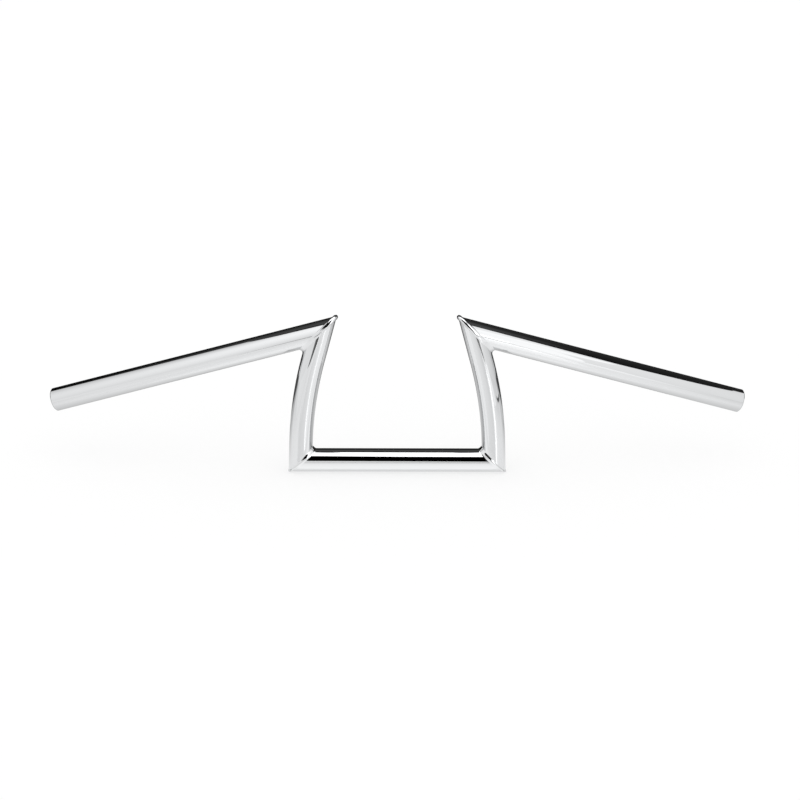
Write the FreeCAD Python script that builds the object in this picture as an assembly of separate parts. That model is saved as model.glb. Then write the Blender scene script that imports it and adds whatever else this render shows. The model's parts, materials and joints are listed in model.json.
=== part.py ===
import FreeCAD, Part
import math
import os

# A welded motorcycle handlebar of chromed steel tube, in millimetres and degrees.
# The origin is the middle of the clamp tube, on its axis. +X runs along the clamp tube
# to the rider's left, +Y points back to the rider and +Z is up.

# Tube stock
TUBE_OD = 25.4
TUBE_WALL = 3.0

# Lengths along and between the tube axes
CENTRE_SPAN = 208.6
RISE = 144.0
GRIP_LENGTH = 315.2

# Angles of the tube axes: the risers lean in from the vertical, the grips droop and sweep back
FOOT_LEAN_ANGLE = 1.8
HEAD_LEAN_ANGLE = 14.6
GRIP_DROOP_ANGLE = 18.1
GRIP_SWEEP_ANGLE = 12.8

# Straight run of each riser between a weld and its bend
FOOT_STRAIGHT = 2.5
HEAD_STRAIGHT = 3.0

# Reach of the weld beads along each tube, from the sharp line of the mitre
LOWER_WELD_INSIDE = 5.0
LOWER_WELD_OUTSIDE = 1.6
UPPER_WELD_INSIDE = 5.5
UPPER_WELD_OUTSIDE = 5.5

# Crest of the weld beads: how far it stands off the sharp line of the mitre
LOWER_CREST_INSIDE = 2.5
LOWER_CREST_SIDE = 0.7
LOWER_CREST_OUTSIDE = 0.35
UPPER_CREST_INSIDE = 3.4
UPPER_CREST_SIDE = 0.5
UPPER_CREST_OUTSIDE = 0.55

# Free ends of the grip tubes
RIM_CHAMFER = 1.2
BORE_CHAMFER = 0.6

TUBE_RADIUS = TUBE_OD / 2
BORE_RADIUS = TUBE_RADIUS - TUBE_WALL


def vector(x, y, z):
    return FreeCAD.Vector(x, y, z)


def sine(degrees):
    return math.sin(math.radians(degrees))


def cosine(degrees):
    return math.cos(math.radians(degrees))


def riser_direction(lean):
    """Upward direction of the left riser where it leans in from the vertical by this angle."""
    return vector(-sine(lean), 0, cosine(lean))


def ring_face(middle, axis):
    """Cross-section of the tube."""
    wires = [Part.Wire(Part.makeCircle(r, middle, axis)) for r in (TUBE_RADIUS, BORE_RADIUS)]
    return Part.makeFace(wires, "Part::FaceMakerBullseye")


def straight_tube(start, end):
    return ring_face(start, end - start).extrude(end - start)


def mitre_reach(first, second):
    """How far along its axis a mitred tube reaches past the corner of two axes."""
    return TUBE_RADIUS / math.tan(first.getAngle(second) / 2)


class WeldedMitre:
    """The corner between two tubes that leave it along first and second.

    Every line around the corner is an ellipse: the sharp mitre of two equal tubes, moved off
    by the weld's reach, which differs inside the corner and outside it. The crest of the weld's
    bead lies in the plane of the mitre.
    """

    def __init__(self, corner, first, second, reach, crest):
        weld_inside, weld_outside = reach
        self.corner = corner
        self.first = first
        self.second = second
        self.crest_inside, self.crest_side, self.crest_outside = crest
        self.bisector = (first + second).normalize()
        self.across = first.cross(second).normalize() * TUBE_RADIUS
        self.along = self.bisector * (TUBE_RADIUS / math.sin(first.getAngle(second) / 2))
        self.weld_middle = (weld_inside + weld_outside) / 2
        self.weld_swing = (weld_inside - weld_outside) / 2

    def line(self, radius, step):
        """Ellipse of the tube skin or bore of this radius, moved by the weld's reach along step."""
        scale = radius / TUBE_RADIUS
        middle = self.corner + step * self.weld_middle
        long_axis = (self.along + step * self.weld_swing) * scale
        ellipse = Part.Ellipse(middle + long_axis, middle + self.across * scale, middle)
        return Part.Wire(ellipse.toShape())

    def crest(self):
        """Ellipse of the bead's crest, which stands off the sharp mitre on all sides."""
        inside = self.corner + self.along + self.bisector * self.crest_inside
        outside = self.corner - self.along - self.bisector * self.crest_outside
        middle = (inside + outside) / 2
        side = self.across * (1 + self.crest_side / TUBE_RADIUS)
        return Part.Wire(Part.Ellipse(inside, middle + side, middle).toShape())

    def waste(self, direction):
        """Everything past the plane where the tube along direction stops and the weld starts."""
        in_plane = self.along + direction * self.weld_swing
        outward = in_plane.cross(self.across).normalize()
        if outward.dot(direction) > 0:
            outward = -outward
        size = 2 * (in_plane.Length + self.weld_middle)
        middle = self.corner + direction * self.weld_middle
        disc = Part.Face(Part.Wire(Part.makeCircle(size, middle, outward)))
        return disc.extrude(outward * size)

    def weld(self):
        """Ring of weld metal between the two cut tubes, with their bores run through.

        Its bead rises in a flank from each tube to the crest.
        """
        flanks = [self.line(TUBE_RADIUS, self.first), self.crest(), self.line(TUBE_RADIUS, self.second)]
        bores = [self.line(BORE_RADIUS, step) for step in (self.first, vector(0, 0, 0), self.second)]
        solid, ruled = True, True
        return Part.makeLoft(flanks, solid, ruled).cut(Part.makeLoft(bores, solid, ruled)).Solids[0]


# Directions of the tubes on the rider's left
to_middle = vector(-1, 0, 0)
foot = riser_direction(FOOT_LEAN_ANGLE)
head = riser_direction(HEAD_LEAN_ANGLE)
grip = vector(
    cosine(GRIP_DROOP_ANGLE) * cosine(GRIP_SWEEP_ANGLE),
    cosine(GRIP_DROOP_ANGLE) * sine(GRIP_SWEEP_ANGLE),
    -sine(GRIP_DROOP_ANGLE))

# The riser is a straight foot, a bend in the XZ plane and a straight head, which give the rise
lower_reach = mitre_reach(to_middle, foot)
upper_reach = mitre_reach(-head, grip)
foot_leg = lower_reach + LOWER_WELD_INSIDE + FOOT_STRAIGHT
head_leg = upper_reach + UPPER_WELD_INSIDE + HEAD_STRAIGHT
bend_rise = RISE - foot_leg * foot.z - head_leg * head.z
bend_radius = bend_rise / (sine(HEAD_LEAN_ANGLE) - sine(FOOT_LEAN_ANGLE))


def bend_arm(lean):
    """From the middle of the bend's circle to the riser's axis where it leans by this angle."""
    return vector(cosine(lean), 0, sine(lean)) * bend_radius


lower_corner = vector(CENTRE_SPAN / 2, 0, 0)
bend_start = lower_corner + foot * foot_leg
bend_centre = bend_start - bend_arm(FOOT_LEAN_ANGLE)
bend_middle = bend_centre + bend_arm((FOOT_LEAN_ANGLE + HEAD_LEAN_ANGLE) / 2)
bend_end = bend_centre + bend_arm(HEAD_LEAN_ANGLE)
upper_corner = bend_end + head * head_leg
grip_end = upper_corner + grip * GRIP_LENGTH

lower_bead = (LOWER_WELD_INSIDE, LOWER_WELD_OUTSIDE)
lower_crest = (LOWER_CREST_INSIDE, LOWER_CREST_SIDE, LOWER_CREST_OUTSIDE)
lower = WeldedMitre(lower_corner, to_middle, foot, lower_bead, lower_crest)

upper_bead = (UPPER_WELD_INSIDE, UPPER_WELD_OUTSIDE)
upper_crest = (UPPER_CREST_INSIDE, UPPER_CREST_SIDE, UPPER_CREST_OUTSIDE)
upper = WeldedMitre(upper_corner, -head, grip, upper_bead, upper_crest)


def mirrored(shape):
    """The same piece on the rider's right."""
    return shape.mirror(vector(0, 0, 0), vector(1, 0, 0))


def trimmed(tube, *wastes):
    """The tube as one solid, with its mitred ends cut back to the welds."""
    return tube.cut(list(wastes)).Solids[0]


def centre_tube():
    end = lower_corner - to_middle * lower_reach
    waste = lower.waste(to_middle)
    return trimmed(straight_tube(-end, end), waste, mirrored(waste))


def riser():
    start = lower_corner - foot * lower_reach
    end = upper_corner + head * upper_reach
    path = Part.Wire([
        Part.LineSegment(start, bend_start).toShape(),
        Part.Arc(bend_start, bend_middle, bend_end).toShape(),
        Part.LineSegment(bend_end, end).toShape()])
    tube = path.makePipe(ring_face(start, foot))
    return trimmed(tube, lower.waste(foot), upper.waste(-head))


def free_rim(tube, radius):
    """The edge of this radius at the free end of the left grip tube."""
    circles = [e for e in tube.Edges if isinstance(e.Curve, Part.Circle)]
    at_end = [e for e in circles if e.Curve.Center.isEqual(grip_end, TUBE_WALL)]
    return min(at_end, key=lambda e: abs(e.Curve.Radius - radius))


def grip_tube():
    tube = straight_tube(upper_corner - grip * upper_reach, grip_end)
    tube = tube.makeChamfer(RIM_CHAMFER, [free_rim(tube, TUBE_RADIUS)])
    tube = tube.makeChamfer(BORE_CHAMFER, [free_rim(tube, BORE_RADIUS)])
    return trimmed(tube, upper.waste(grip))


left_welds = [lower.weld(), upper.weld()]
right_welds = [mirrored(weld) for weld in left_welds]

pieces = {"centre_tube": centre_tube(), "corner_welds": Part.makeCompound(left_welds + right_welds)}
for name, shape in (("riser", riser()), ("grip_tube", grip_tube())):
    pieces["left_" + name] = shape
    pieces["right_" + name] = mirrored(shape)

os.makedirs("parts", exist_ok=True)
for name, shape in pieces.items():
    shape.exportStep("parts/" + name + ".step")
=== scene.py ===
import json
import logging
import math
from dataclasses import dataclass, field
from enum import Enum, IntEnum

import bpy
import numpy as np
from mathutils import Matrix, Vector


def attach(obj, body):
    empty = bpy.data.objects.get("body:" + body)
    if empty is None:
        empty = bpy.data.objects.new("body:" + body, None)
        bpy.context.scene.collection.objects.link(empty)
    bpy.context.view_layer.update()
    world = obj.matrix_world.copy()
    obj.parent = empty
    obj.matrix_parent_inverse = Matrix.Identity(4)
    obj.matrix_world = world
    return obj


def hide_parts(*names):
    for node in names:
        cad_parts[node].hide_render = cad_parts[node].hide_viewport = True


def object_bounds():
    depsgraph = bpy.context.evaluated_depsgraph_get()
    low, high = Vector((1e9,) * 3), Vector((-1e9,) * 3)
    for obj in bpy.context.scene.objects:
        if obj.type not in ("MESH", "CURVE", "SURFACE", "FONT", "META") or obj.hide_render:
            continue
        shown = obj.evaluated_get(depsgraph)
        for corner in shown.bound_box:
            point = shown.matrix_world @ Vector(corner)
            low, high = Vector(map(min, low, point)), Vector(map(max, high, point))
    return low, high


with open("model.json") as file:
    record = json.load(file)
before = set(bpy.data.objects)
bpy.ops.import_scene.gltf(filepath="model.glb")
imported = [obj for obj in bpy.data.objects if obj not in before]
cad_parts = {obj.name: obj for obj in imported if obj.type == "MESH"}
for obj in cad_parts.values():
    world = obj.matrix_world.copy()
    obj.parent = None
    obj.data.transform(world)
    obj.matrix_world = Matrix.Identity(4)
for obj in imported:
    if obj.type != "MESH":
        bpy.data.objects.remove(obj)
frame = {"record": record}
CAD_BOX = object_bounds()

# A welded motorcycle handlebar of chromed steel tube, on a lit white table.
# The bar is worked out in millimetres in the frame of the CAD model and scaled to metres where
# a mesh is made. +X is the rider's left, +Y points back to the rider and +Z is up.
# The table and the sheets of the light tent are in metres from the start.

LOG = logging.getLogger("handlebar")
MM = 0.001
BODY = "root"


class Side(Enum):
    """A side of the bar as the rider sees it, with the sign of its X."""

    LEFT = 1
    RIGHT = -1

    @property
    def label(self) -> str:
        """The word used in the names of pieces."""
        return self.name.lower()

    @property
    def flip(self) -> np.ndarray:
        """Factors that bring a point from the rider's left to this side."""
        return np.array([self.value, 1, 1])


class Face(IntEnum):
    """Material slot of a stretch of skin."""

    PLATE = 0
    BORE = 1


def linear(code: str) -> tuple[float, float, float, float]:
    """Turn an sRGB hex colour into the linear colour that shaders use.

    Args:
        code: A colour such as "#D6D7D8".

    Returns:
        Red, green, blue and alpha, each from 0 to 1.
    """
    parts = [int(code[i:i + 2], 16) / 255 for i in (1, 3, 5)]
    return (*[c / 12.92 if c <= 0.04045 else ((c + 0.055) / 1.055) ** 2.4 for c in parts], 1.0)


def add_node(
    tree: bpy.types.NodeTree, kind: str, inputs: dict | None = None, links: dict | None = None,
    **settings: object,
) -> bpy.types.Node:
    """Add a node with its settings, input values and incoming links.

    Args:
        tree: The node tree that gets the node.
        kind: Name of the node type.
        inputs: Values for input sockets, by socket name.
        links: Output sockets of other nodes, by the name or number of the input that each feeds.
        **settings: Attributes of the node itself.

    Returns:
        The new node.
    """
    node = tree.nodes.new(kind)
    for name, value in settings.items():
        setattr(node, name, value)
    for name, value in (inputs or {}).items():
        node.inputs[name].default_value = value
    for name, socket in (links or {}).items():
        tree.links.new(socket, node.inputs[name])
    return node


def blank_material(name: str) -> tuple[bpy.types.Material, bpy.types.NodeTree]:
    """Make an empty node material.

    Args:
        name: Name of the material.

    Returns:
        The material and its node tree.
    """
    material = bpy.data.materials.new(name)
    material.use_nodes = True
    material.node_tree.nodes.clear()
    return material, material.node_tree


def per_metre(size_mm: float) -> float:
    """Scale of a noise whose features are this many millimetres apart."""
    return 1 / (size_mm * MM)


@dataclass(frozen=True)
class PolishedChrome:
    """Nickel-chrome plate over belt-polished steel tube."""

    # The plate is thin and bright, so it mirrors the room with hardly any blur. What the eye
    # still catches is the steel beneath: long soft ripples from the polishing belt, and buffing
    # haze that comes and goes.
    tint: str = "#D7D8D9"
    sharpest: float = 0.02
    haziest: float = 0.06
    haze_mm: float = 38.0
    haze_start: float = 0.35
    haze_full: float = 0.75
    ripple_mm: float = 26.0
    ripple_height_mm: float = 0.02

    def material(self) -> bpy.types.Material:
        """Build the material.

        Returns:
            The material.
        """
        material, tree = blank_material("chrome_plate_polished")
        place = add_node(tree, "ShaderNodeTexCoord")
        haze = add_node(
            tree, "ShaderNodeTexNoise",
            {"Scale": per_metre(self.haze_mm), "Detail": 3.0, "Roughness": 0.6},
            {"Vector": place.outputs["Object"]})
        rough = add_node(
            tree, "ShaderNodeMapRange",
            {"From Min": self.haze_start, "From Max": self.haze_full,
             "To Min": self.sharpest, "To Max": self.haziest},
            {"Value": haze.outputs["Fac"]})
        ripple = add_node(
            tree, "ShaderNodeTexNoise",
            {"Scale": per_metre(self.ripple_mm), "Detail": 1.0, "Roughness": 0.4},
            {"Vector": place.outputs["Object"]})
        relief = add_node(
            tree, "ShaderNodeBump", {"Strength": 1.0, "Distance": self.ripple_height_mm * MM},
            {"Height": ripple.outputs["Fac"]})
        surface = add_node(
            tree, "ShaderNodeBsdfPrincipled", {"Base Color": linear(self.tint), "Metallic": 1.0},
            {"Roughness": rough.outputs["Result"], "Normal": relief.outputs["Normal"]})
        add_node(tree, "ShaderNodeOutputMaterial", links={"Surface": surface.outputs["BSDF"]})
        return material


@dataclass(frozen=True)
class TubeBore:
    """Inside of drawn steel tube, where the plating thins out a few centimetres in."""

    # Near the mouth it is a dull mirror. Deeper in, bare steel with a thin scale turns grey and
    # matt. The drawing mandrel leaves a grain of about 0.1 mm, which is too fine to show, so it
    # is drawn at 0.6 mm.
    plate: str = "#B9BABB"
    steel: str = "#8A857F"
    plated_mm: float = 24.0
    grain_mm: float = 0.6
    grain_height_mm: float = 0.02
    grain_strength: float = 0.3
    plate_roughness: float = 0.3
    steel_roughness: float = 0.6
    plate_metal: float = 0.6
    steel_metal: float = 0.3
    depth_name: str = "bore_depth"

    def material(self) -> bpy.types.Material:
        """Build the material.

        Returns:
            The material.
        """
        material, tree = blank_material("drawn_steel_bore")
        depth = add_node(tree, "ShaderNodeAttribute", attribute_name=self.depth_name)
        place = add_node(tree, "ShaderNodeTexCoord")
        grain = add_node(
            tree, "ShaderNodeTexNoise", {"Scale": per_metre(self.grain_mm), "Detail": 2.0},
            {"Vector": place.outputs["Object"]})
        bare, rough, metal = (
            add_node(
                tree, "ShaderNodeMapRange",
                {"From Min": 0.0, "From Max": self.plated_mm, "To Min": at_mouth, "To Max": deep},
                {"Value": depth.outputs["Fac"]})
            for at_mouth, deep in (
                (0.0, 1.0),
                (self.plate_roughness, self.steel_roughness),
                (self.plate_metal, self.steel_metal)))
        colour = add_node(
            tree, "ShaderNodeMix", {"A": linear(self.plate), "B": linear(self.steel)},
            {"Factor": bare.outputs["Result"]}, data_type="RGBA")
        relief = add_node(
            tree, "ShaderNodeBump",
            {"Strength": self.grain_strength, "Distance": self.grain_height_mm * MM},
            {"Height": grain.outputs["Fac"]})
        surface = add_node(tree, "ShaderNodeBsdfPrincipled", links={
            "Base Color": colour.outputs["Result"], "Roughness": rough.outputs["Result"],
            "Metallic": metal.outputs["Result"], "Normal": relief.outputs["Normal"]})
        add_node(tree, "ShaderNodeOutputMaterial", links={"Surface": surface.outputs["BSDF"]})
        return material


@dataclass(frozen=True)
class Course:
    """A smooth stretch of skin: rows of points around a tube, with the skin's own normals."""

    rows: np.ndarray
    normals: np.ndarray
    face: Face = Face.PLATE


def unit(v: np.ndarray) -> np.ndarray:
    """The same direction with length one."""
    return v / np.linalg.norm(v, axis=-1, keepdims=True)


def flat_ring(first: np.ndarray, last: np.ndarray, normal: np.ndarray) -> Course:
    """The flat ring from one row of points to another, with one normal all over."""
    return Course(np.array([first, last]), np.tile(normal, (2, len(first), 1)))


def blend_rows(first: np.ndarray, last: np.ndarray, step_mm: float) -> np.ndarray:
    """Fill in rows at even steps between two rows of points.

    Args:
        first: Points of the first row.
        last: Points of the last row.
        step_mm: Greatest distance between neighbouring rows.

    Returns:
        All rows, the two ends among them.
    """
    count = max(2, math.ceil(np.linalg.norm(last - first, axis=1).max() / step_mm) + 1)
    share = np.linspace(0, 1, count)[:, None, None]
    return first + (last - first) * share


def loft_piece(
    name: str, courses: list[Course], materials: list[bpy.types.Material], side: Side
) -> bpy.types.Object:
    """Close a ring of courses into a solid skin.

    Each course starts on the last row of the one before it, and the last ends on the first row.

    Args:
        name: Name of the piece.
        courses: The stretches of skin in order.
        materials: The piece's materials, in the order of Face.
        side: RIGHT mirrors the shape, which is always worked out on the rider's left.

    Returns:
        The piece as an object.
    """
    flip = side.flip
    around = courses[0].rows.shape[1]
    points = np.concatenate([course.rows[:-1].reshape(-1, 3) for course in courses]) * flip * MM
    row_count = len(points) // around
    here = np.arange(around)
    after = (here + 1) % around
    quads, normals, slots = [], [], []
    row = 0
    for course in courses:
        for k in range(len(course.rows) - 1):
            low = row * around
            high = (row + 1) % row_count * around
            quads.append(np.stack([low + here, low + after, high + after, high + here], axis=1))
            near, far = course.normals[k] * flip, course.normals[k + 1] * flip
            normals.append(np.stack([near[here], near[after], far[after], far[here]], axis=1))
            slots.append(np.full(around, course.face))
            row += 1
    quads, normals = np.concatenate(quads), np.concatenate(normals)
    p = points[quads[0]]
    if np.dot(np.cross(p[1] - p[0], p[3] - p[0]), normals[0].sum(axis=0)) < 0:
        quads, normals = quads[:, ::-1], normals[:, ::-1]
    mesh = bpy.data.meshes.new(name)
    mesh.from_pydata(points.tolist(), [], quads.tolist())
    for material in materials:
        mesh.materials.append(material)
    mesh.polygons.foreach_set("material_index", np.concatenate(slots).astype(np.int32))
    mesh.polygons.foreach_set("use_smooth", np.ones(len(quads), bool))
    mesh.normals_split_custom_set(normals.reshape(-1, 3).tolist())
    mesh.update()
    piece = bpy.data.objects.new(name, mesh)
    bpy.context.scene.collection.objects.link(piece)
    return piece


@dataclass(frozen=True)
class TubeStock:
    """The steel tube that the whole bar is made from, and how finely its skin is divided."""

    radius: float
    wall: float = 3.0
    around: int = 192
    step: float = 5.0

    @property
    def bore(self) -> float:
        """Radius of the bore."""
        return self.radius - self.wall

    def spokes(self, axis: np.ndarray) -> np.ndarray:
        """Outward directions around an axis, evenly spaced.

        Args:
            axis: Unit direction of the tube.

        Returns:
            One direction for each point of a row.
        """
        back = np.array([0.0, 1.0, 0.0])
        out = unit(np.cross(back, axis))
        turn = np.linspace(0, 2 * math.pi, self.around, endpoint=False)[:, None]
        return np.cos(turn) * out + np.sin(turn) * np.cross(axis, out)

    def cut(
        self, centre: np.ndarray, axis: np.ndarray, plane: np.ndarray, radius: float
    ) -> np.ndarray:
        """Row of points where a tube skin meets a plane through a point of its axis.

        Args:
            centre: The point of the axis.
            axis: Unit direction of the tube.
            plane: Normal of the plane.
            radius: Radius of the skin or bore.

        Returns:
            The row of points.
        """
        arms = self.spokes(axis) * radius
        return centre + arms - np.outer(arms @ plane / (axis @ plane), axis)


@dataclass(frozen=True)
class Mitre:
    """A welded corner between two equal tubes that leave it along first and second.

    Every line around the corner is an ellipse: the sharp mitre, moved off by the weld's reach.
    The weld is a low bead that leaves both tubes smoothly and rises to a crest in the plane of
    the mitre.
    """

    stock: TubeStock
    corner: np.ndarray
    first: np.ndarray
    second: np.ndarray
    inside: float
    outside: float
    crest_inside: float
    crest_side: float
    crest_outside: float
    flow: int = 48

    @property
    def half_angle(self) -> float:
        """Half the angle between the two tubes."""
        return math.acos(float(self.first @ self.second)) / 2

    @property
    def middle(self) -> float:
        """Reach of the weld along each tube, half way around."""
        return (self.inside + self.outside) / 2

    @property
    def swing(self) -> float:
        """How much further the weld reaches inside the corner than half way around."""
        return (self.inside - self.outside) / 2

    @property
    def bisector(self) -> np.ndarray:
        """Direction half way between the two tubes."""
        return unit(self.first + self.second)

    @property
    def along(self) -> np.ndarray:
        """Long half axis of the sharp mitre, towards the inside of the corner."""
        return self.bisector * self.stock.radius / math.sin(self.half_angle)

    @property
    def across(self) -> np.ndarray:
        """Short half axis of the sharp mitre."""
        return unit(np.cross(self.first, self.second)) * self.stock.radius

    @property
    def turn(self) -> np.ndarray:
        """Angles of the points of a row, counted from the inside of the corner."""
        return np.linspace(0, 2 * math.pi, self.stock.around, endpoint=False)[:, None]

    def plane(self, direction: np.ndarray) -> np.ndarray:
        """Normal of the plane where the tube along direction meets the weld, away from the weld."""
        normal = unit(np.cross(self.along + direction * self.swing, self.across))
        return normal * np.sign(normal @ direction)

    def start(self, direction: np.ndarray) -> np.ndarray:
        """Point of a tube's axis in the plane where it meets the weld."""
        return self.corner + direction * self.middle

    def line(self, radius: float, step: np.ndarray) -> np.ndarray:
        """Ellipse of a skin around the corner, moved by the weld's reach along a step.

        Args:
            radius: Radius of the skin or bore.
            step: The way it moves, of length one at the two tubes.

        Returns:
            A row of points.
        """
        scale = radius / self.stock.radius
        long_axis = (self.along + step * self.swing) * scale
        middle = self.corner + step * self.middle
        return middle + np.cos(self.turn) * long_axis + np.sin(self.turn) * self.across * scale

    def arc(self, angle: float) -> tuple[np.ndarray, np.ndarray, np.ndarray]:
        """Step to a point of the arc that leaves the first tube on its axis and joins the second.

        Args:
            angle: Place on the arc in radians, counted from its middle.

        Returns:
            The step, and the directions from that point to the arc's centre and onward along it.
        """
        bisector, turn = self.bisector, unit(self.second - self.first)
        spoke = bisector * math.cos(angle) - turn * math.sin(angle)
        onward = bisector * math.sin(angle) + turn * math.cos(angle)
        step = bisector / math.cos(self.half_angle) - spoke * math.tan(self.half_angle)
        return step, spoke, onward

    def skin(self) -> Course:
        """Skin of the bead with its exact normals.

        It is the arc between the two tubes, raised along its own spokes and to the sides. The rise
        is full at the middle, where it makes the crest, and runs out smoothly at both tubes.

        Returns:
            The skin from the first tube to the second.
        """
        half = math.pi / 2 - self.half_angle
        bend = math.tan(self.half_angle)
        cos, sin = np.cos(self.turn), np.sin(self.turn)
        inner = self.corner + self.along + self.bisector * self.crest_inside
        outer = self.corner - self.along - self.bisector * self.crest_outside
        side = self.across * self.crest_side / self.stock.radius
        level, _, _ = self.arc(0.0)
        arm = (inner - outer) / 2 - self.along - level * self.swing
        centre = (inner + outer) / 2 - self.corner - level * self.middle
        lift = (centre + cos * arm) @ self.bisector[:, None]
        lift_turn = -sin * (arm @ self.bisector)
        rows, normals = [], []
        for share in np.linspace(0, 1, self.flow + 1):
            step, spoke, onward = self.arc(half * (2 * share - 1))
            rise = math.sin(math.pi * share) ** 2
            climb = math.pi * math.sin(2 * math.pi * share)
            around = cos * (self.across + rise * side) - sin * (self.along + step * self.swing)
            around = around + rise * lift_turn * spoke
            travel = bend * (self.middle + self.swing * cos) - rise * lift
            over = onward * 2 * half * travel + climb * (lift * spoke + sin * side)
            rows.append(self.line(self.stock.radius, step) + rise * (lift * spoke + sin * side))
            normals.append(unit(np.cross(around, over)))
        facing = np.sign(float(normals[self.flow // 2][0] @ self.bisector))
        return Course(np.array(rows), np.array(normals) * facing)

    def courses(self) -> list[Course]:
        """The bead, its two seats against the tubes and the bores that run through it.

        Returns:
            The courses of the ring of weld metal.
        """
        skin = self.skin()
        steps = (self.second, np.zeros(3), self.first)
        bores = [self.line(self.stock.bore, step) for step in steps]
        inward = [unit(self.corner - row) for row in bores]
        return [
            skin,
            flat_ring(skin.rows[-1], bores[0], self.plane(self.second)),
            Course(np.array(bores), np.array(inward), Face.BORE),
            flat_ring(bores[-1], skin.rows[0], self.plane(self.first)),
        ]


@dataclass(frozen=True)
class BarLayout:
    """Centre lines of the bar on the rider's left, in millimetres and degrees.

    The two numbers of a weld are its reach along each tube inside the corner and outside it. The
    three of a crest are how far it stands off the sharp mitre inside, to the sides and outside.
    """

    stock: TubeStock
    centre_span: float = 208.6
    rise: float = 144.0
    grip_length: float = 315.2
    foot_lean: float = 1.8
    head_lean: float = 14.6
    grip_droop: float = 18.1
    grip_sweep: float = 12.8
    foot_straight: float = 2.5
    head_straight: float = 3.0
    lower_weld: tuple[float, float] = (5.0, 1.6)
    upper_weld: tuple[float, float] = (5.5, 5.5)
    lower_crest: tuple[float, float, float] = (2.5, 0.7, 0.35)
    upper_crest: tuple[float, float, float] = (3.4, 0.5, 0.55)

    @property
    def inward(self) -> np.ndarray:
        """Direction of the clamp tube from its left corner."""
        return np.array([-1.0, 0.0, 0.0])

    @property
    def foot(self) -> np.ndarray:
        """Upward direction of the riser's straight foot."""
        return self.upward(self.foot_lean)

    @property
    def head(self) -> np.ndarray:
        """Upward direction of the riser's straight head."""
        return self.upward(self.head_lean)

    @property
    def grip(self) -> np.ndarray:
        """Direction of the grip tube from its corner."""
        droop, sweep = math.radians(self.grip_droop), math.radians(self.grip_sweep)
        return np.array([
            math.cos(droop) * math.cos(sweep), math.cos(droop) * math.sin(sweep), -math.sin(droop)])

    def upward(self, lean: float) -> np.ndarray:
        """Direction of the riser where it leans in by an angle in degrees."""
        return np.array([-math.sin(math.radians(lean)), 0.0, math.cos(math.radians(lean))])

    def outward(self, lean: float) -> np.ndarray:
        """Direction from the middle of the riser's bend to the riser where it leans so far."""
        return np.array([math.cos(math.radians(lean)), 0.0, math.sin(math.radians(lean))])

    def reach(self, first: np.ndarray, second: np.ndarray) -> float:
        """How far a mitred tube runs past the corner of two axes."""
        return self.stock.radius / math.tan(math.acos(float(first @ second)) / 2)

    @property
    def foot_leg(self) -> float:
        """Length of the riser's straight foot from the corner of the axes."""
        return self.reach(self.inward, self.foot) + self.lower_weld[0] + self.foot_straight

    @property
    def head_leg(self) -> float:
        """Length of the riser's straight head to the corner of the axes."""
        return self.reach(-self.head, self.grip) + self.upper_weld[0] + self.head_straight

    @property
    def bend_radius(self) -> float:
        """Radius of the riser's bend, which makes up the rise.

        Returns:
            The radius in millimetres.
        """
        straight = self.foot_leg * self.foot + self.head_leg * self.head
        lift = math.sin(math.radians(self.head_lean)) - math.sin(math.radians(self.foot_lean))
        return (self.rise - straight[2]) / lift

    @property
    def lower_corner(self) -> np.ndarray:
        """Where the axes of the clamp tube and the riser meet."""
        return np.array([self.centre_span / 2, 0.0, 0.0])

    def bend(self, lean: float) -> np.ndarray:
        """Point of the riser's bend where it leans in by an angle in degrees."""
        start = self.lower_corner + self.foot * self.foot_leg
        return start + (self.outward(lean) - self.outward(self.foot_lean)) * self.bend_radius

    @property
    def upper_corner(self) -> np.ndarray:
        """Where the axes of the riser and the grip tube meet."""
        return self.bend(self.head_lean) + self.head * self.head_leg

    @property
    def lower(self) -> Mitre:
        """Corner between the clamp tube and the riser."""
        bead = (*self.lower_weld, *self.lower_crest)
        return Mitre(self.stock, self.lower_corner, self.inward, self.foot, *bead)

    @property
    def upper(self) -> Mitre:
        """Corner between the riser and the grip tube."""
        bead = (*self.upper_weld, *self.upper_crest)
        return Mitre(self.stock, self.upper_corner, -self.head, self.grip, *bead)


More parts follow.
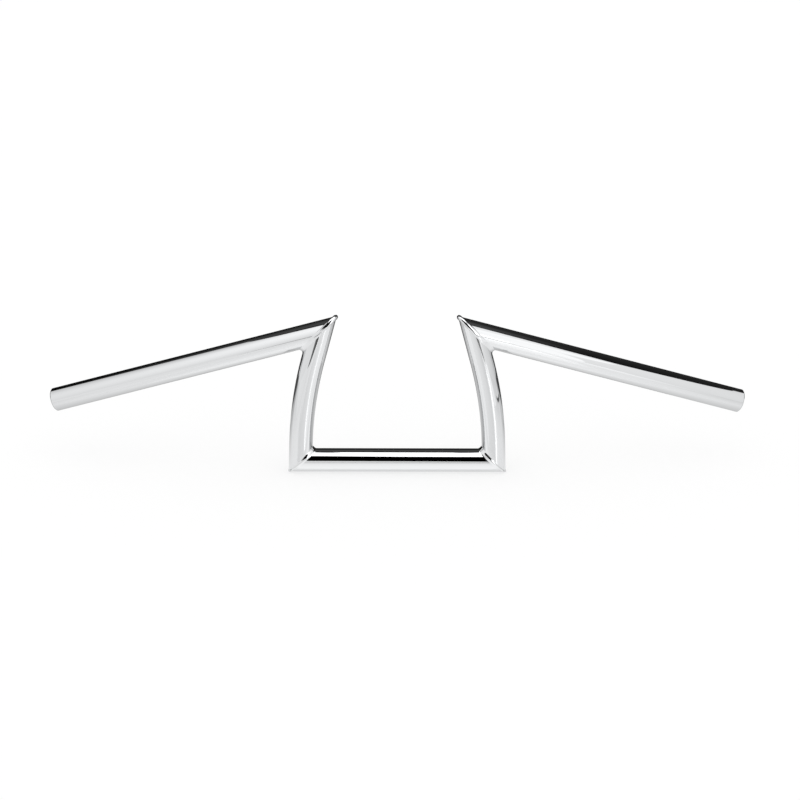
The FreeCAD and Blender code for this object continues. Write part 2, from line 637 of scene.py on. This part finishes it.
@dataclass
class Handlebar:
    """All pieces of the bar.

    The edges of the free ends are broken by chamfers, whose own edges are rounded. A rounding
    takes up no more than edge_share of the bore's chamfer.
    """

    layout: BarLayout
    plate: bpy.types.Material
    bore: bpy.types.Material
    rim_chamfer: float = 1.2
    bore_chamfer: float = 0.6
    edge_round: float = 0.35
    edge_share: float = 0.25
    edge_rows: int = 7
    depth_name: str = TubeBore.depth_name
    pieces: list[bpy.types.Object] = field(default_factory=list)

    def place(self, name: str, courses: list[Course], side: Side, node: str) -> bpy.types.Object:
        """Make a piece, ride it on the bar and let it stand for its solid.

        Args:
            name: Name of the piece.
            courses: Its skin, worked out on the rider's left.
            side: The side it is for.
            node: The solid that it stands for.

        Returns:
            The piece.
        """
        piece = loft_piece(name, courses, [self.plate, self.bore], side)
        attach(piece, BODY)
        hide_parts(node)
        self.pieces.append(piece)
        return piece

    def walls(
        self, skin: Course, bore: Course, start: np.ndarray, end: np.ndarray
    ) -> list[Course]:
        """Close a tube between two welds.

        Args:
            skin: The outer skin from one end to the other.
            bore: The bore in the same order, its normals away from the axis too.
            start: Outward normal of the cut where they start.
            end: Outward normal of the cut where they end.

        Returns:
            The courses of the tube.
        """
        return [
            skin,
            flat_ring(skin.rows[-1], bore.rows[-1], end),
            Course(bore.rows[::-1], -bore.normals[::-1], Face.BORE),
            flat_ring(bore.rows[0], skin.rows[0], start),
        ]

    def centre_tube(self) -> None:
        """Make the straight clamp tube."""
        stock, mitre, axis = self.layout.stock, self.layout.lower, self.layout.inward
        mirror = Side.RIGHT.flip
        plane = mitre.plane(axis)
        skins = []
        for radius in (stock.radius, stock.bore):
            first = stock.cut(mitre.start(axis), axis, plane, radius)
            last = stock.cut(mitre.start(axis) * mirror, axis, plane * mirror, radius)
            rows = blend_rows(first, last, stock.step)
            skins.append(Course(rows, np.tile(stock.spokes(axis), (len(rows), 1, 1))))
        courses = self.walls(*skins, -plane, -plane * mirror)
        self.place("plated_centre_tube", courses, Side.LEFT, "centre_tube")

    def riser_skin(self, radius: float) -> Course:
        """Skin or bore of a riser from its foot to its head.

        Args:
            radius: Radius of the skin or bore.

        Returns:
            The rows, with normals away from the axis.
        """
        lay, stock = self.layout, self.layout.stock
        arc = math.radians(lay.head_lean - lay.foot_lean) * lay.bend_radius
        leans = np.linspace(lay.foot_lean, lay.head_lean, math.ceil(arc / stock.step) + 1)
        out = np.array([stock.spokes(lay.upward(lean)) for lean in leans])
        bend = np.array([lay.bend(lean) for lean in leans])[:, None] + out * radius
        low = stock.cut(lay.lower.start(lay.foot), lay.foot, lay.lower.plane(lay.foot), radius)
        high = stock.cut(lay.upper.start(-lay.head), lay.head, lay.upper.plane(-lay.head), radius)
        feet = blend_rows(low, bend[0], stock.step)[:-1]
        heads = blend_rows(bend[-1], high, stock.step)[1:]
        foot_out = np.tile(out[0], (len(feet), 1, 1))
        head_out = np.tile(out[-1], (len(heads), 1, 1))
        return Course(
            np.concatenate([feet, bend, heads]), np.concatenate([foot_out, out, head_out]))

    def riser(self, side: Side) -> None:
        """Make a bent riser.

        Args:
            side: The side it is for.
        """
        lay = self.layout
        courses = self.walls(
            self.riser_skin(lay.stock.radius), self.riser_skin(lay.stock.bore),
            -lay.lower.plane(lay.foot), -lay.upper.plane(-lay.head))
        self.place(f"plated_{side.label}_riser", courses, side, f"{side.label}_riser")

    def rim(self) -> list[tuple[float, float, float, float]]:
        """Section of the free end from the outer skin to the bore, with its edges broken.

        Returns:
            For each point: radius, distance past the end, and the outward normal in those two
            directions.
        """
        stock, outer, inner = self.layout.stock, self.rim_chamfer, self.bore_chamfer
        # The first and last corner, some chamfers back, only give the direction of the walls.
        back = 3
        corners = np.array([
            (stock.radius, -outer * back), (stock.radius, -outer), (stock.radius - outer, 0.0),
            (stock.bore + inner, 0.0), (stock.bore, -inner), (stock.bore, -inner * back)])
        section = []
        for before, at, after in zip(corners, corners[1:], corners[2:]):
            d_in, d_out = unit(at - before), unit(after - at)
            n_in, n_out = np.array([d_in[1], -d_in[0]]), np.array([d_out[1], -d_out[0]])
            turn = math.acos(float(np.clip(d_in @ d_out, -1, 1)))
            trim = min(self.edge_round * math.tan(turn / 2), self.edge_share * inner)
            radius = trim / math.tan(turn / 2)
            centre = at - d_in * trim - n_in * radius
            for share in np.linspace(0, 1, self.edge_rows):
                n = unit(n_in * math.sin((1 - share) * turn) + n_out * math.sin(share * turn))
                section.append((*(centre + n * radius), *n))
        return section

    def grip_tube(self, side: Side) -> None:
        """Make a straight grip tube with its open free end.

        Args:
            side: The side it is for.
        """
        lay, stock = self.layout, self.layout.stock
        axis, mitre = lay.grip, lay.upper
        plane, start = mitre.plane(axis), mitre.start(axis)
        end = lay.upper_corner + axis * lay.grip_length
        spokes = stock.spokes(axis)
        section = self.rim()
        rim_rows = np.array([end + axis * a + spokes * r for r, a, _, _ in section])
        rim_out = np.array([axis * na + spokes * nr for _, _, nr, na in section])
        skin = blend_rows(stock.cut(start, axis, plane, stock.radius), rim_rows[0], stock.step)
        bore = blend_rows(rim_rows[-1], stock.cut(start, axis, plane, stock.bore), stock.step)
        courses = [
            Course(skin, np.tile(spokes, (len(skin), 1, 1))),
            Course(rim_rows, rim_out),
            Course(bore, np.tile(-spokes, (len(bore), 1, 1)), Face.BORE),
            flat_ring(bore[-1], skin[0], -plane),
        ]
        piece = self.place(f"plated_{side.label}_grip", courses, side, f"{side.label}_grip_tube")
        points = np.array([v.co for v in piece.data.vertices]) / MM
        depth = (end * side.flip - points) @ (axis * side.flip)
        attribute = piece.data.attributes.new(self.depth_name, "FLOAT", "POINT")
        attribute.data.foreach_set("value", depth.astype(np.float32))

    def weld(self, side: Side, place: str, mitre: Mitre) -> None:
        """Make a raised weld bead, polished and plated with the tubes."""
        self.place(f"plated_{side.label}_{place}_weld", mitre.courses(), side, "corner_welds")

    def build(self) -> None:
        """Make every piece."""
        self.centre_tube()
        for side in Side:
            self.riser(side)
            self.grip_tube(side)
            self.weld(side, "lower", self.layout.lower)
            self.weld(side, "upper", self.layout.upper)


def stage_sheet(
    name: str, points: list[list[float]], quads: list[tuple[int, ...]],
    material: bpy.types.Material, mirrored_only: bool,
) -> bpy.types.Object:
    """Make a sheet of the studio.

    Args:
        name: Name of the sheet.
        points: Its points in metres.
        quads: Its faces.
        material: What it is made of.
        mirrored_only: Whether it shows only in reflections.

    Returns:
        The sheet as an object.
    """
    mesh = bpy.data.meshes.new(name)
    mesh.from_pydata(points, [], quads)
    mesh.materials.append(material)
    sheet = bpy.data.objects.new(name, mesh)
    bpy.context.scene.collection.objects.link(sheet)
    if mirrored_only:
        sheet.visible_camera = False
        sheet.visible_diffuse = False
        sheet.visible_shadow = False
    return sheet


@dataclass(frozen=True)
class TentNylonAndPaintedTable:
    """Nylon diffusion cloth of the light tent, woven fine and lit from behind.

    The same glow makes the sheets of painted shade and painted glare on the table.
    """

    # The weave is far too fine to show in a reflection. The chrome picks up a plain glow, which
    # fades from one edge of a sheet to the other. On the table sheets that glow is painted light
    # and shade.
    level_name: str = "radiance"

    def material(self) -> bpy.types.Material:
        """Build the material.

        Returns:
            The material.
        """
        material, tree = blank_material("tent_nylon_backlit")
        level = add_node(tree, "ShaderNodeAttribute", attribute_name=self.level_name)
        # Emission from each sheet's radiance: lamp light in the tent, painted shade and glare on
        # the table.
        light = add_node(tree, "ShaderNodeEmission", links={"Strength": level.outputs["Fac"]})
        add_node(tree, "ShaderNodeOutputMaterial", links={"Surface": light.outputs["Emission"]})
        return material


@dataclass(frozen=True)
class OpalAcrylicMatt:
    """Backlit opal acrylic, rolled matt."""

    # The eye sees an even white glow, a little darker where the bar shades it.
    tint: str = "#FFFFFF"
    body: str = "#A0A0A0"
    glow: float = 0.655
    roughness: float = 0.9

    def material(self) -> bpy.types.Material:
        """Build the material.

        Returns:
            The material.
        """
        material, tree = blank_material("opal_acrylic_backlit")
        surface = add_node(tree, "ShaderNodeBsdfPrincipled", {
            "Base Color": linear(self.body), "Roughness": self.roughness,
            "Specular IOR Level": 0.0, "Emission Color": linear(self.tint),
            "Emission Strength": self.glow})
        add_node(tree, "ShaderNodeOutputMaterial", links={"Surface": surface.outputs["BSDF"]})
        return material


@dataclass(frozen=True)
class OpalAcrylicGlossPaintedGlow:
    """Backlit opal acrylic with a moulded gloss face, as the chrome mirrors it, its glow painted
    brighter.
    """

    # It glows white, brightest in the middle, where the glow is painted brighter than the matt
    # table's, and the tent shows faintly in it at a low angle.
    tint: str = "#FFFFFF"
    body: str = "#A0A0A0"
    # Painted light: the middle glows brighter than the table that the camera sees.
    glow: float = 0.87
    side_glow: float = 0.68
    half_width: float = 0.45
    roughness: float = 0.1
    ior: float = 1.5

    def material(self) -> bpy.types.Material:
        """Build the material.

        Returns:
            The material.
        """
        material, tree = blank_material("opal_acrylic_gloss")
        place = add_node(tree, "ShaderNodeTexCoord")
        split = add_node(tree, "ShaderNodeSeparateXYZ", links={"Vector": place.outputs["Object"]})
        across = split.outputs["X"]
        square = add_node(
            tree, "ShaderNodeMath", links={0: across, 1: across}, operation="MULTIPLY")
        falloff = add_node(
            tree, "ShaderNodeMapRange",
            {"From Min": 0.0, "From Max": self.half_width ** 2,
             "To Min": self.glow, "To Max": self.side_glow},
            {"Value": square.outputs["Value"]})
        glow = add_node(
            tree, "ShaderNodeEmission", {"Color": linear(self.tint)},
            {"Strength": falloff.outputs["Result"]})
        shaded = add_node(tree, "ShaderNodeBsdfDiffuse", {"Color": linear(self.body)})
        body = add_node(
            tree, "ShaderNodeAddShader",
            links={0: glow.outputs["Emission"], 1: shaded.outputs["BSDF"]})
        gloss = add_node(tree, "ShaderNodeBsdfGlossy", {"Roughness": self.roughness})
        share = add_node(tree, "ShaderNodeFresnel", {"IOR": self.ior})
        face = add_node(tree, "ShaderNodeMixShader", links={
            "Fac": share.outputs["Fac"], 1: body.outputs["Shader"], 2: gloss.outputs["BSDF"]})
        add_node(tree, "ShaderNodeOutputMaterial", links={"Surface": face.outputs["Shader"]})
        return material


@dataclass(frozen=True)
class TableFace:
    """A face of the table, large enough to fill every view."""

    name: str
    finish: OpalAcrylicMatt | OpalAcrylicGlossPaintedGlow
    mirrored_only: bool
    half_size: float = 8.0

    def build(self, height: float) -> bpy.types.Object:
        """Make the face.

        Args:
            height: Its height in metres.

        Returns:
            The face as an object.
        """
        h = self.half_size
        points = [[-h, -h, height], [h, -h, height], [h, h, height], [-h, h, height]]
        material = self.finish.material()
        return stage_sheet(self.name, points, [(0, 1, 2, 3)], material, self.mirrored_only)


@dataclass(frozen=True)
class Card:
    """A flat sheet that shows only in the chrome: a tent sheet, or on the table a sheet of painted
    shade and glare.

    Its place is its height, and its corners are x and y, in metres. Corners run round the sheet.
    The four numbers of radiance belong to them and blend between.
    """

    name: str
    place: float
    radiance: tuple[float, float, float, float]
    corners: tuple[tuple[float, float], ...]
    steps: int = 24

    def points(self, spots: np.ndarray) -> np.ndarray:
        """Points of the sheet at spots that are given as its corners are."""
        return np.concatenate([spots, np.full((*spots.shape[:-1], 1), self.place)], axis=-1)

    def build(self, material: bpy.types.Material) -> bpy.types.Object:
        """Make the sheet.

        Args:
            material: What it is made of.

        Returns:
            The sheet as an object.
        """
        share = np.linspace(0, 1, self.steps + 1)
        u, v = (a[..., None] for a in np.meshgrid(share, share))
        weights = [(1 - u) * (1 - v), u * (1 - v), u * v, (1 - u) * v]
        spots = sum(w * np.array(c) for w, c in zip(weights, self.corners))
        glow = sum(w * r for w, r in zip(weights, self.radiance))
        n = self.steps + 1
        quads = [
            (r * n + k, r * n + k + 1, (r + 1) * n + k + 1, (r + 1) * n + k)
            for r in range(self.steps) for k in range(self.steps)]
        points = self.points(spots).reshape(-1, 3).tolist()
        sheet = stage_sheet(self.name, points, quads, material, mirrored_only=True)
        level = sheet.data.attributes.new(TentNylonAndPaintedTable.level_name, "FLOAT", "POINT")
        level.data.foreach_set("value", glow.ravel().astype(np.float32))
        return sheet


@dataclass(frozen=True)
class DomeCard(Card):
    """A sheet on a dome round the bar, whose place is the dome's radius in metres.

    Corners are azimuth and elevation in degrees. Azimuth 0 faces the camera and 90 is +X.
    """

    def points(self, spots: np.ndarray) -> np.ndarray:
        """Points of the curved sheet.

        Args:
            spots: Azimuth and elevation of each point.

        Returns:
            The points in metres.
        """
        az, el = np.radians(spots[..., 0]), np.radians(spots[..., 1])
        toward = [np.sin(az) * np.cos(el), -np.cos(az) * np.cos(el), np.sin(el)]
        return np.stack(toward, axis=-1) * self.place


@dataclass(frozen=True)
class Studio:
    """Table, light tent and camera, in metres and degrees.

    Sheets on the table are mostly painted shade, glare and reflection that only the chrome shows.
    They lie in layers just over its gloss, and a higher layer hides a lower one.
    """

    elevation: float = 18.083
    roll: float = 0.1051
    distance: float = 4.0
    target: tuple[float, float, float] = (2.933 * MM, 0.0, 68.07 * MM)
    lens_mm: float = 167.606
    sensor_mm: float = 36.0
    clip_end: float = 50.0
    surround: float = 1.0
    surround_tint: str = "#FFFFFF"
    gloss_lift: float = 0.5 * MM
    layer_lift: float = 0.6 * MM
    layer_step: float = 0.1 * MM

    def roof_cards(self) -> list[Card]:
        """The softbox and the dark roof over it.

        Returns:
            The sheets.
        """
        return [
            Card("card_softbox", 0.85, (2.0,) * 4,
                 ((-0.45, -0.60), (0.45, -0.77), (0.45, 0.03), (-0.45, 0.17))),
            Card("card_roof", 1.15, (0.03,) * 4,
                 ((-4.0, -4.0), (4.0, -4.0), (4.0, 4.0), (-4.0, 4.0))),
        ]

    def wall_cards(self) -> list[Card]:
        """The tent's walls: bright at the sides, dark round the camera and behind the bar.

        Returns:
            The sheets.
        """
        return [
            DomeCard("card_left", 1.0, (1.08, 0.95, 1.55, 0.63),
                     ((-118, -2), (-25, -2), (-60, 56), (-115, 49))),
            DomeCard("card_right", 1.0, (1.12, 0.72, 0.97, 1.15),
                     ((25, -2), (125, -2), (111, 35), (58, 41))),
            DomeCard("card_right_front", 0.99, (1.4,) * 4,
                     ((20, -2), (41, -2), (50, 23), (20, 23))),
            DomeCard("card_right_upper", 0.99, (1.4, 1.35, 1.4, 1.5),
                     ((20, 23), (50, 23), (70, 36), (25, 52))),
            DomeCard("card_right_high", 0.995, (1.4, 1.1, 1.2, 1.4),
                     ((25, 40), (75.5, 36), (77, 52), (25, 56))),
            DomeCard("card_camera", 0.95, (0.0,) * 4,
                     ((-22, 12), (22, -1), (22, 43), (-22, 59.5))),
            DomeCard("card_rear_left", 1.05, (0.02, 0.01, 0.12, 0.1),
                     ((-200, 32), (-112, 32), (-93, 70), (-200, 70))),
            DomeCard("card_rear_low_left", 1.05, (0.02, 0.0, 0.0, 0.02),
                     ((-200, -4), (-118, -4), (-112, 32), (-200, 32))),
            DomeCard("card_rear_right", 1.05, (0.01, 0.03, 0.08, 0.25),
                     ((75, 47), (160, 47), (160, 70), (75, 70))),
            DomeCard("card_rear_low_right", 1.05, (0.003, 0.03, 0.03, 0.01),
                     ((75, -4), (160, -4), (160, 47), (75, 47))),
            DomeCard("card_strip_light", 0.98, (4.0,) * 4,
                     ((27.5, 4), (37, 4), (37, 40), (27.5, 40))),
        ]

    def table_cards(self, height: float) -> list[Card]:
        """Sheets on the table, mostly painted shade, glare and reflection, each given by its name,
        layer, radiance and corners.

        Args:
            height: Height of the table's surface in metres.

        Returns:
            The sheets.
        """
        sheets = [
            # Painted glow: the table in front of the clamp tube, brighter nearer the tube.
            ("floor_front_near", 4, (1.0, 1.0, 1.3, 1.3),
             ((-0.11, -0.07), (0.11, -0.07), (0.11, -0.012), (-0.11, -0.012))),
            # Painted shadow: darker towards the clamp tube, where it rests on the table.
            ("floor_contact", 11, (0.95, 0.95, 0.6, 0.6),
             ((-0.12, -0.009), (0.12, -0.009), (0.12, 0.002), (-0.12, 0.002))),
            ("floor_left_wide", 0, (1.05, 1.02, 1.06, 1.1),
             ((-1.6, -2.4), (-0.42, -1.6), (-0.36, -0.12), (-1.3, -0.12))),
            # Painted glare: a bright patch on the table to the front right, brighter than the table
            # round it.
            ("floor_right_glow", 1, (1.15, 1.2, 1.4, 1.35),
             ((0.32, -0.27), (0.40, -0.23), (0.64, -0.68), (0.48, -0.66))),
            ("floor_right_fade", 1, (1.2, 0.97, 0.97, 1.4),
             ((0.40, -0.23), (0.52, -0.20), (0.80, -0.64), (0.64, -0.68))),
            # Painted shade on the table between the risers, behind the clamp tube.
            ("floor_between", 9, (0.5, 0.5, 0.8, 0.8),
             ((-0.115, 0.0), (0.115, 0.0), (0.115, 0.14), (-0.115, 0.14))),
            # Painted shade on the table behind the bar, darkest far back.
            ("floor_rear_near", 6, (1.08, 1.08, 0.5, 0.5),
             ((-0.9, 0.0), (0.9, 0.0), (0.9, 0.175), (-0.9, 0.146))),
            ("floor_rear_edge", 4, (0.7, 0.75, 0.06, 0.1),
             ((-2.5, 0.12), (2.5, 0.2), (2.5, 0.34), (-2.5, 0.22))),
            ("floor_rear_right", 8, (0.75, 0.8, 0.7, 0.75),
             ((0.3, 0.1), (1.2, 0.1), (1.2, 0.26), (0.3, 0.22))),
            ("floor_rear_far", 4, (0.08, 0.08, 0.04, 0.04),
             ((-2.5, 0.22), (2.5, 0.34), (2.5, 3.0), (-2.5, 3.0))),
            # Dark strips on the table that only the chrome shows, drawing dark lines on the risers:
            # painted reflections.
            ("strip_left", 4, (0.3, 0.0, 0.0, 0.3),
             ((-0.52, -0.75), (-0.15, -0.78), (-0.15, -0.55), (-0.52, -0.575))),
            ("strip_right", 4, (0.0, 0.5, 0.5, 0.0),
             ((0.15, -0.80), (0.52, -0.78), (0.52, -0.63), (0.15, -0.59))),
            ("strip_side", 12, (0.15,) * 4,
             ((0.565, -0.09), (0.61, -0.21), (0.65, 0.16), (0.57, 0.2))),
        ]
        low = height + self.layer_lift
        return [Card(name, low + layer * self.layer_step, *look) for name, layer, *look in sheets]

    def camera(self) -> None:
        """Set the camera where the photograph was taken from."""
        up_angle, roll = math.radians(self.elevation), math.radians(self.roll)
        ahead = Vector((0, math.cos(up_angle), -math.sin(up_angle)))
        level, above = Vector((1, 0, 0)), Vector((0, math.sin(up_angle), math.cos(up_angle)))
        right = level * math.cos(roll) + above * math.sin(roll)
        above = above * math.cos(roll) - level * math.sin(roll)
        turn = Matrix((right, above, -ahead)).transposed().to_4x4()
        data = bpy.data.cameras.new("camera")
        data.lens = self.lens_mm
        data.sensor_width = self.sensor_mm
        data.clip_end = self.clip_end
        camera = bpy.data.objects.new("camera", data)
        place = Vector(self.target) - ahead * self.distance
        camera.matrix_world = Matrix.Translation(place) @ turn
        bpy.context.scene.collection.objects.link(camera)
        bpy.context.scene.camera = camera

    def world(self) -> None:
        """Light everything evenly from all around."""
        world = bpy.data.worlds.new("even_white")
        world.use_nodes = True
        tree = world.node_tree
        tree.nodes.clear()
        glow = add_node(
            tree, "ShaderNodeBackground",
            {"Color": linear(self.surround_tint), "Strength": self.surround})
        add_node(tree, "ShaderNodeOutputWorld", links={"Surface": glow.outputs["Background"]})
        bpy.context.scene.world = world

    def build(self, height: float) -> None:
        """Set up the studio round the bar.

        Args:
            height: Height of the table's surface in metres.
        """
        self.world()
        self.camera()
        table = TableFace("table", OpalAcrylicMatt(), mirrored_only=False).build(height)
        # The table as the chrome sees it: real gloss over a painted brighter glow.
        gloss = TableFace("table_gloss", OpalAcrylicGlossPaintedGlow(), mirrored_only=True).build(
            height + self.gloss_lift)
        # One glow for all mirrored sheets: the tent, and the painted shade and glare on the table.
        tent_and_painted_glow = TentNylonAndPaintedTable().material()
        cards = [*self.roof_cards(), *self.wall_cards(), *self.table_cards(height)]
        [card.build(tent_and_painted_glow) for card in cards]
        bpy.context.scene.view_settings.view_transform = "Standard"
        bpy.context.scene.view_settings.look = "None"


def clamp_radius() -> float:
    """Radius of the tube in millimetres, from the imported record's clamp mount."""
    mounts = {m["name"]: m for m in frame["record"]["mounts"]}
    return mounts["clamp_zone"]["dims"]["r_mm"]


def main() -> None:
    """Build the bar and the studio, and report each piece."""
    logging.basicConfig(level=logging.INFO, format="%(name)s: %(message)s")
    layout = BarLayout(TubeStock(clamp_radius()))
    bar = Handlebar(layout, PolishedChrome().material(), TubeBore().material())
    bar.build()
    for piece in bar.pieces:
        LOG.info("%s: %d faces", piece.name, len(piece.data.polygons))
    Studio().build(CAD_BOX[0].z)


if __name__ == "__main__":
    main()
